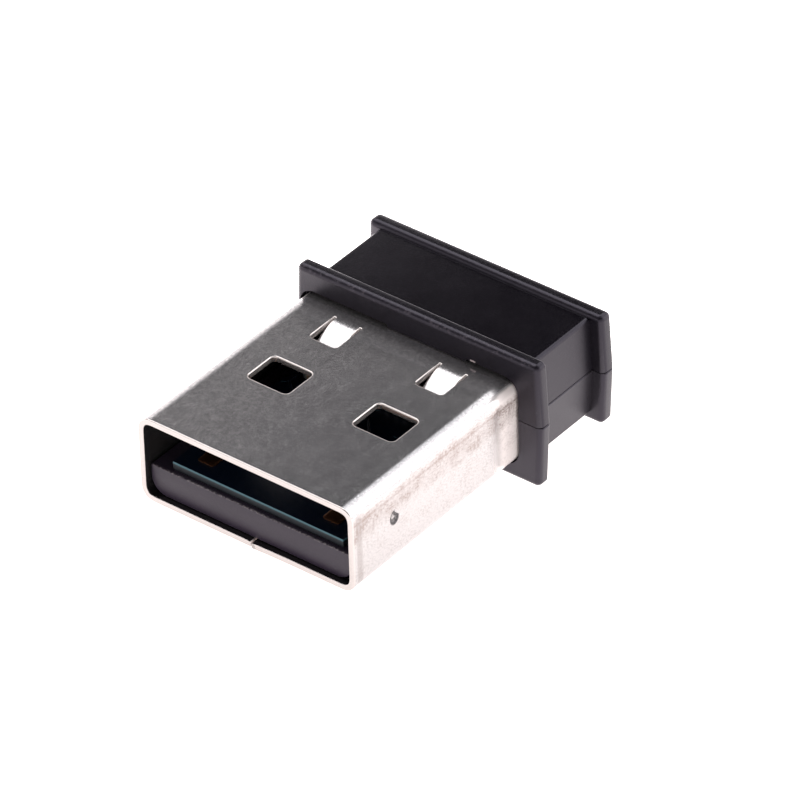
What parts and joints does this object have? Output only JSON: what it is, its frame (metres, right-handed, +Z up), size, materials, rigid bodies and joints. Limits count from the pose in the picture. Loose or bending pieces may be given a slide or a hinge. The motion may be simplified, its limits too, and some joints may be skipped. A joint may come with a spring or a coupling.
{
  "type": "usb wifi adapter",
  "caption": "Very short USB wifi adapter: folded steel USB-A plug with board and gold contacts, set in a black spool-shaped two-part plastic housing.",
  "frame": {"origin": "middle of the footprint, at the height of the lowest face, which is the underside of the front flange", "axes": "+Y from the plug's mouth to the back of the housing, +Z up with the latch holes on top, +X to the right as seen from the mouth"},
  "size_m": [0.0138, 0.0172, 0.0066],
  "materials": {
    "plug_shell": "satin nickel-plated sheet",
    "contact_carrier": "satin moulded black plastic",
    "circuit_board": "dark blue solder mask",
    "contact_gold": "gold plated",
    "housing_top": "fine matt texture",
    "housing_bottom": "fine matt texture",
    "chip_epoxy": "matt epoxy",
    "crystal_lid": "bright plated lid",
    "inductor_ferrite": "matt ferrite",
    "capacitor_ceramic": "fired ceramic",
    "resistor_glaze": "glazed",
    "antenna_copper": "bare copper",
    "solder": "bright solder"
  },
  "bodies": {
    "root": {"plug_shell": "plug_shell", "contact_carrier": "contact_carrier", "circuit_board": "circuit_board", "contact_vbus": "contact_gold", "contact_d_minus": "contact_gold", "contact_d_plus": "contact_gold", "contact_ground": "contact_gold", "housing_top": "housing_top", "housing_bottom": "housing_bottom", "wifi_chip": "chip_epoxy", "voltage_regulator": "chip_epoxy", "esd_protection": "chip_epoxy", "crystal": "crystal_lid", "power_inductor": "inductor_ferrite", "vbus_ferrite_bead": "inductor_ferrite", "rf_inductor": "inductor_ferrite", "rf_capacitor_series": "capacitor_ceramic", "rf_capacitor_shunt": "capacitor_ceramic", "printed_antenna": "antenna_copper", "shell_solder_left": "solder", "shell_solder_right": "solder", "capacitor_1": "capacitor_ceramic", "capacitor_2": "capacitor_ceramic", "capacitor_3": "capacitor_ceramic", "capacitor_4": "capacitor_ceramic", "capacitor_5": "capacitor_ceramic", "capacitor_6": "capacitor_ceramic", "capacitor_7": "capacitor_ceramic", "capacitor_8": "capacitor_ceramic", "resistor_1": "resistor_glaze", "resistor_2": "resistor_glaze", "resistor_3": "resistor_glaze"}
  },
  "joints": []
}
